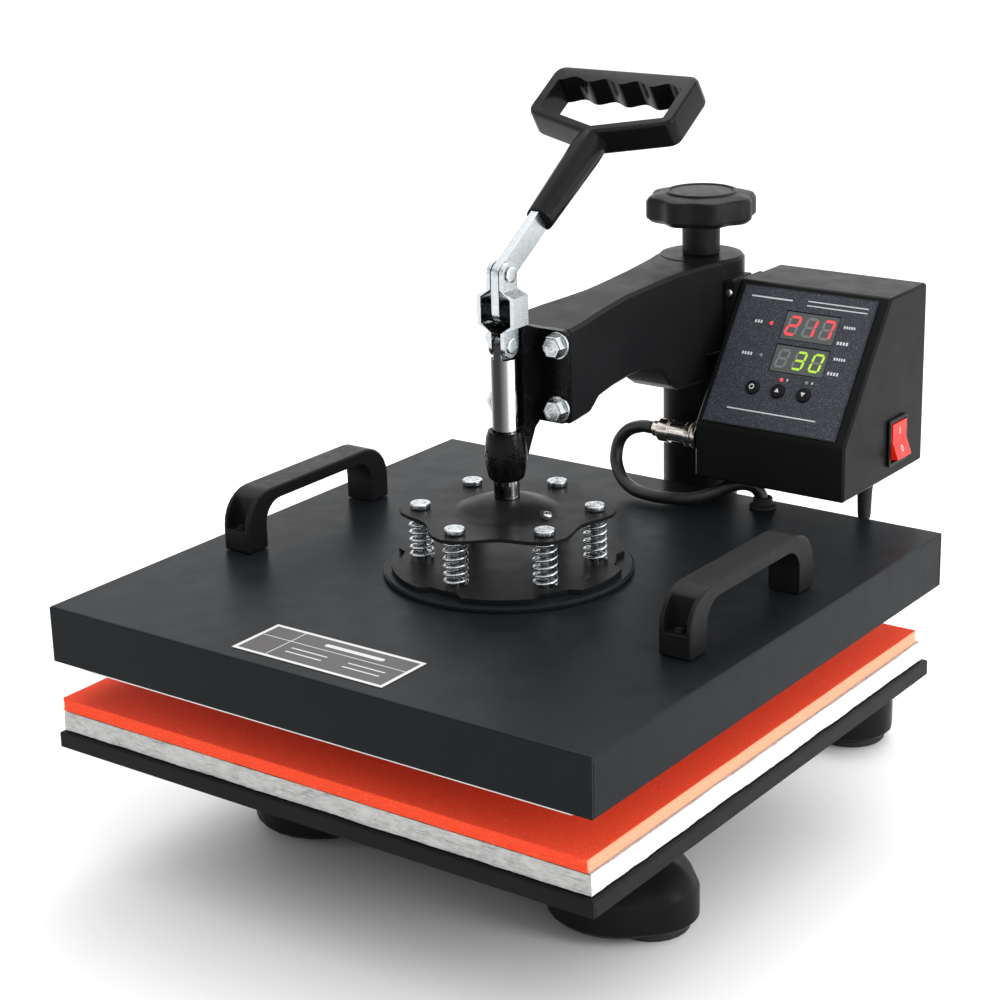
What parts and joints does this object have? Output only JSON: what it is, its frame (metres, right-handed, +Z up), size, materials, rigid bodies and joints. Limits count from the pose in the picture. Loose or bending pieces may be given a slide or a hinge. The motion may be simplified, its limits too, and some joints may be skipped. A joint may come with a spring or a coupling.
{
  "type": "swing-away heat press",
  "caption": "Swing-away heat press: square heated platen hung on springs from a toggle lever, over a padded lower tray, with a digital control box and pressure knob.",
  "frame": {"origin": "centre of the press's bounding box, without the free mains cord, on the surface that its feet stand on", "axes": "+Z up out of the mat, -Y towards the operator, +X to the operator's right when facing the press"},
  "size_m": [0.3896, 0.6834, 0.4607],
  "materials": {
    "black_powder": "satin black powder coat with a fine texture",
    "cover_paint": "smooth satin dark blue-grey powder coat",
    "black_casting": "glossy black paint over a rough casting",
    "zinc_steel": "bright zinc plated steel",
    "chrome_rod": "polished chrome plate",
    "plate_aluminium": "ground aluminium",
    "nickel": "warm nickel plate",
    "gloss_black_plastic": "glossy moulded black plastic",
    "matt_black_plastic": "fine matt moulded black plastic",
    "panel_film": "satin black overlay film",
    "switch_red": "translucent glossy red plastic",
    "black_rubber": "matt black rubber",
    "silicone_foam": "orange-red silicone sponge with a fine grain",
    "grey_felt": "mottled grey-white needled felt",
    "circuit_board": "dark circuit board and display blocks",
    "cable_jacket": "satin black cable jacket"
  },
  "bodies": {
    "base": {"base_frame": "black_powder", "foot_front_left": "black_rubber", "foot_front_right": "black_rubber", "foot_rear_left": "black_rubber", "foot_rear_right": "black_rubber", "column": "black_powder", "lower_tray": "black_powder", "felt_pad": "grey_felt", "silicone_mat": "silicone_foam"},
    "spindle": {"lift_spindle": "zinc_steel"},
    "arm": {"press_arm": "black_powder", "toggle_bracket": "black_casting", "bracket_bolt_1": "zinc_steel", "bracket_bolt_2": "zinc_steel", "bracket_bolt_3": "zinc_steel", "bracket_bolt_4": "zinc_steel", "pivot_pin": "zinc_steel", "box_bracket": "black_powder", "box_shell": "black_powder", "box_back": "black_powder", "control_panel": "panel_film", "controller_board": "circuit_board", "switch_bezel": "gloss_black_plastic", "cable_connector": "nickel", "heater_cable": "cable_jacket", "cord_gland": "matt_black_plastic", "mains_cord": "cable_jacket", "cord_coil": "cable_jacket", "mains_plug": "matt_black_plastic"},
    "knob": {"pressure_knob": "matt_black_plastic", "lift_screw": "zinc_steel"},
    "lever": {"lever_bar": "zinc_steel", "lever_grip": "gloss_black_plastic", "upper_pin": "zinc_steel"},
    "links": {"link_left": "zinc_steel", "link_right": "zinc_steel"},
    "plunger": {"plunger_rod": "chrome_rod", "spring_plate_upper": "black_powder"},
    "platen": {"heat_plate": "plate_aluminium", "platen_cover": "cover_paint", "hub_disc": "cover_paint", "spring_plate_lower": "black_powder", "shoulder_bolt_1": "zinc_steel", "shoulder_bolt_2": "zinc_steel", "shoulder_bolt_3": "zinc_steel", "shoulder_bolt_4": "zinc_steel", "shoulder_bolt_5": "zinc_steel", "shoulder_bolt_6": "zinc_steel", "platen_spring_1": "zinc_steel", "platen_spring_2": "zinc_steel", "platen_spring_3": "zinc_steel", "platen_spring_4": "zinc_steel", "platen_spring_5": "zinc_steel", "platen_spring_6": "zinc_steel", "handle_left": "matt_black_plastic", "handle_right": "matt_black_plastic"},
    "set_button": {"button_set": "matt_black_plastic"},
    "up_button": {"button_up": "matt_black_plastic"},
    "down_button": {"button_down": "matt_black_plastic"},
    "power_rocker": {"switch_rocker": "switch_red"}
  },
  "joints": [
    {"name": "arm_lift", "type": "slide", "parent": "base", "child": "spindle", "axis": [0, 0, 1], "range_m": [0, 0.012]},
    {"name": "arm_swing", "type": "hinge", "parent": "spindle", "child": "arm", "pos_m": [0.00208, 0.18513, 0.2675], "axis": [0, 0, 1], "range_deg": [0, 90]},
    {"name": "knob_turn", "type": "hinge", "parent": "arm", "child": "knob", "pos_m": [0.00208, 0.18513, 0.353], "axis": [0, 0, 1], "range_deg": [0, 2160]},
    {"name": "lever_turn", "type": "hinge", "parent": "arm", "child": "lever", "pos_m": [0.00208, -0.03887, 0.3391], "axis": [1, 0, 0], "range_deg": [0, 110]},
    {"name": "link_turn", "type": "hinge", "parent": "lever", "child": "links", "pos_m": [0.00208, -0.03887, 0.3615], "axis": [1, 0, 0], "range_deg": [-82, 0]},
    {"name": "plunger_slide", "type": "slide", "parent": "arm", "child": "plunger", "axis": [0, 0, -1], "range_m": [0, 0.0243]},
    {"name": "platen_float", "type": "slide", "parent": "plunger", "child": "platen", "axis": [0, 0, 1], "range_m": [0, 0.006], "stiffness_N_per_m": 60000, "springref_m": -0.004, "deforming": ["platen_spring_1", "platen_spring_2", "platen_spring_3", "platen_spring_4", "platen_spring_5", "platen_spring_6", "heater_cable"]},
    {"name": "set_press", "type": "slide", "parent": "arm", "child": "set_button", "axis": [0, 0.816, -0.578], "range_m": [0, 0.001], "stiffness_N_per_m": 400, "springref_m": -0.0005},
    {"name": "up_press", "type": "slide", "parent": "arm", "child": "up_button", "axis": [0, 0.816, -0.578], "range_m": [0, 0.001], "stiffness_N_per_m": 400, "springref_m": -0.0005},
    {"name": "down_press", "type": "slide", "parent": "arm", "child": "down_button", "axis": [0, 0.816, -0.578], "range_m": [0, 0.001], "stiffness_N_per_m": 400, "springref_m": -0.0005},
    {"name": "power_switch", "type": "hinge", "parent": "arm", "child": "power_rocker", "pos_m": [0.14408, 0.19043, 0.2226], "axis": [0, 1, 0], "range_deg": [0, 20]}
  ],
  "couplings": [
    {"joint": "knob_turn", "follows": "arm_lift", "rad_per_m": 3141.6},
    {"joint": "link_turn", "follows": "lever_turn", "ratio": -0.7391},
    {"joint": "plunger_slide", "follows": "lever_turn", "m_per_rad": 0.0126}
  ]
}
